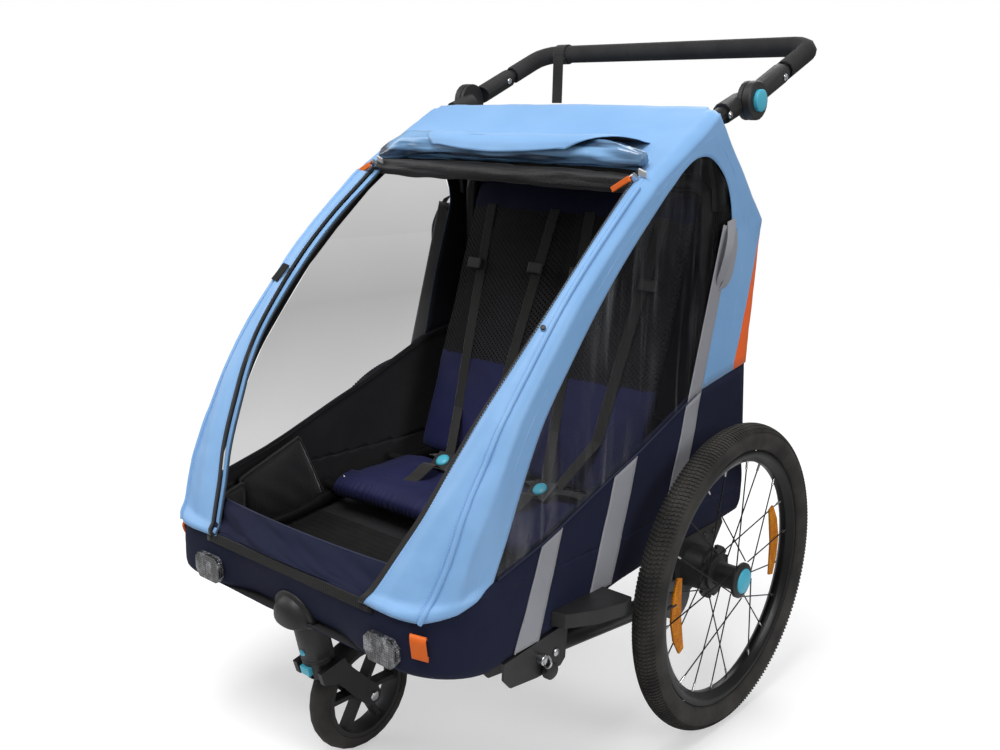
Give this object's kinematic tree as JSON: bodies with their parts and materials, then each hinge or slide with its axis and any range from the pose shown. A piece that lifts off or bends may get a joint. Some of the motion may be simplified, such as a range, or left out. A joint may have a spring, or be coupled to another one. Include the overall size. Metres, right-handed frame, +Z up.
{
  "type": "child bike trailer",
  "caption": "Folding two-seat child trailer with spoked rear wheels, a swivelling front wheel, a push bar and a stowed tow arm on its left side.",
  "frame": {"origin": "on the ground under the middle of the overall box", "axes": "+Z up, the cabin opens towards -Y, +X is the trailer's own left side, where the tow arm is"},
  "size_m": [0.8044, 0.935, 1.1093],
  "materials": {
    "light_blue_cloth": "woven, matt",
    "navy_cloth": "woven, matt",
    "seat_cloth": "woven, padded",
    "black_web": "webbing",
    "clear_film": "clear flexible film",
    "black_tube": "black powder coat",
    "black_plastic": "moulded",
    "black_foam": "foam",
    "rubber": "ribbed rubber",
    "black_alloy": "black anodised",
    "chrome": "polished",
    "cyan_plastic": "moulded",
    "amber_lens": "reflector",
    "clear_lens": "reflector",
    "grey_plastic": "moulded"
  },
  "bodies": {
    "chassis": {"floor_frame": "black_tube", "rear_axle": "black_plastic", "floor_mat": "rubber", "lower_body": "navy_cloth", "front_reflector_left": "clear_lens", "front_reflector_right": "clear_lens", "caster_socket": "black_plastic", "tow_bracket": "black_plastic", "tow_arm": "black_tube", "tow_coupling": "grey_plastic", "tow_bolt": "chrome", "step_left": "black_plastic", "step_right": "black_plastic", "seat_base": "seat_cloth", "seat_back": "seat_cloth", "harness_left": "black_web", "harness_right": "black_web", "buckle_left": "black_plastic", "buckle_right": "black_plastic", "canopy": "light_blue_cloth", "side_window_left": "clear_film", "side_window_right": "clear_film", "cover_roll": "black_web"},
    "rear_wheel_left": {"rear_tyre_left": "rubber", "spoked_rim_left": "black_alloy", "wheel_hub_left": "black_plastic", "front_spoke_reflector_left": "amber_lens", "rear_spoke_reflector_left": "amber_lens"},
    "release_cap_left": {"release_cap_left": "cyan_plastic"},
    "rear_wheel_right": {"rear_tyre_right": "rubber", "spoked_rim_right": "black_alloy", "wheel_hub_right": "black_plastic", "front_spoke_reflector_right": "amber_lens", "rear_spoke_reflector_right": "amber_lens"},
    "release_cap_right": {"release_cap_right": "cyan_plastic"},
    "front_fork": {"caster_fork": "black_plastic", "caster_axle_bolt": "chrome"},
    "front_wheel": {"caster_tyre": "rubber", "caster_rim": "black_plastic"},
    "swivel_lever": {"swivel_lever": "cyan_plastic"},
    "caster_release_button": {"caster_release_button": "cyan_plastic"},
    "tow_pin": {"tow_pin": "chrome"},
    "tow_knob": {"tow_knob": "black_plastic"},
    "brake_pedal": {"brake_pedal": "black_plastic"},
    "front_hoop": {"front_hoop": "black_tube", "handle_hub_left": "black_plastic", "handle_hub_right": "black_plastic"},
    "back_frame": {"back_frame": "black_tube"},
    "push_bar": {"handle_arm_left": "black_plastic", "handle_arm_right": "black_plastic", "handlebar_tube": "black_tube", "handlebar_grip": "black_foam", "handle_bolt_left": "chrome", "handle_bolt_right": "chrome", "wrist_strap": "black_web"},
    "hub_button_left": {"hub_button_left": "cyan_plastic"},
    "buckle_button_left": {"buckle_button_left": "cyan_plastic"},
    "hub_button_right": {"hub_button_right": "cyan_plastic"},
    "buckle_button_right": {"buckle_button_right": "cyan_plastic"}
  },
  "joints": [
    {"name": "rear_wheel_spin_left", "type": "hinge", "parent": "chassis", "child": "rear_wheel_left", "pos_m": [0.3677, 0.14179, 0.25], "axis": [1, 0, 0], "continuous": true},
    {"name": "release_cap_press_left", "type": "slide", "parent": "rear_wheel_left", "child": "release_cap_left", "axis": [-1, 0, 0], "range_m": [0, 0.004], "stiffness_N_per_m": 500, "springref_m": -0.002},
    {"name": "rear_wheel_spin_right", "type": "hinge", "parent": "chassis", "child": "rear_wheel_right", "pos_m": [-0.3677, 0.14179, 0.25], "axis": [1, 0, 0], "continuous": true},
    {"name": "release_cap_press_right", "type": "slide", "parent": "rear_wheel_right", "child": "release_cap_right", "axis": [1, 0, 0], "range_m": [0, 0.004], "stiffness_N_per_m": 500, "springref_m": -0.002},
    {"name": "fork_swivel", "type": "hinge", "parent": "chassis", "child": "front_fork", "pos_m": [0, -0.39721, 0.1815], "axis": [0, -0.2419, 0.9703], "continuous": true},
    {"name": "front_wheel_spin", "type": "hinge", "parent": "front_fork", "child": "front_wheel", "pos_m": [0, -0.31521, 0.0943], "axis": [1, 0, 0], "continuous": true},
    {"name": "swivel_lever_slide", "type": "slide", "parent": "front_fork", "child": "swivel_lever", "axis": [0, -0.2419, 0.9703], "range_m": [-0.006, 0]},
    {"name": "release_button_press", "type": "slide", "parent": "chassis", "child": "caster_release_button", "axis": [0, 0.9703, 0.2419], "range_m": [0, 0.003], "stiffness_N_per_m": 400, "springref_m": -0.002},
    {"name": "tow_pin_pull", "type": "slide", "parent": "chassis", "child": "tow_pin", "axis": [1, 0, 0], "range_m": [0, 0.046]},
    {"name": "tow_knob_turn", "type": "hinge", "parent": "chassis", "child": "tow_knob", "pos_m": [0.306, -0.24321, 0.213], "axis": [1, 0, 0], "range_deg": [0, 90]},
    {"name": "brake_pedal_press", "type": "hinge", "parent": "chassis", "child": "brake_pedal", "pos_m": [-0.15, 0.14179, 0.25], "axis": [-1, 0, 0], "range_deg": [0, 30]},
    {"name": "hoop_fold", "type": "hinge", "parent": "chassis", "child": "front_hoop", "pos_m": [0, -0.37821, 0.302], "axis": [-1, 0, 0], "range_deg": [0, 40], "deforming": ["canopy", "side_window_left", "side_window_right", "cover_roll", "seat_back", "harness_left", "harness_right"]},
    {"name": "back_frame_fold", "type": "hinge", "parent": "chassis", "child": "back_frame", "pos_m": [0, 0.21179, 0.33], "axis": [1, 0, 0], "range_deg": [0, 76]},
    {"name": "push_bar_tilt", "type": "hinge", "parent": "front_hoop", "child": "push_bar", "pos_m": [0, 0.23179, 0.9935], "axis": [1, 0, 0], "range_deg": [-45, 100]},
    {"name": "hub_button_press_left", "type": "slide", "parent": "push_bar", "child": "hub_button_left", "axis": [-1, 0, 0], "range_m": [0, 0.0025], "stiffness_N_per_m": 500, "springref_m": -0.002},
    {"name": "buckle_press_left", "type": "slide", "parent": "chassis", "child": "buckle_button_left", "axis": [0, 0, -1], "range_m": [0, 0.002], "stiffness_N_per_m": 300, "springref_m": -0.002},
    {"name": "hub_button_press_right", "type": "slide", "parent": "push_bar", "child": "hub_button_right", "axis": [1, 0, 0], "range_m": [0, 0.0025], "stiffness_N_per_m": 500, "springref_m": -0.002},
    {"name": "buckle_press_right", "type": "slide", "parent": "chassis", "child": "buckle_button_right", "axis": [0, 0, -1], "range_m": [0, 0.002], "stiffness_N_per_m": 300, "springref_m": -0.002}
  ],
  "couplings": [
    {"joint": "back_frame_fold", "follows": "hoop_fold", "ratio": 1.9}
  ]
}
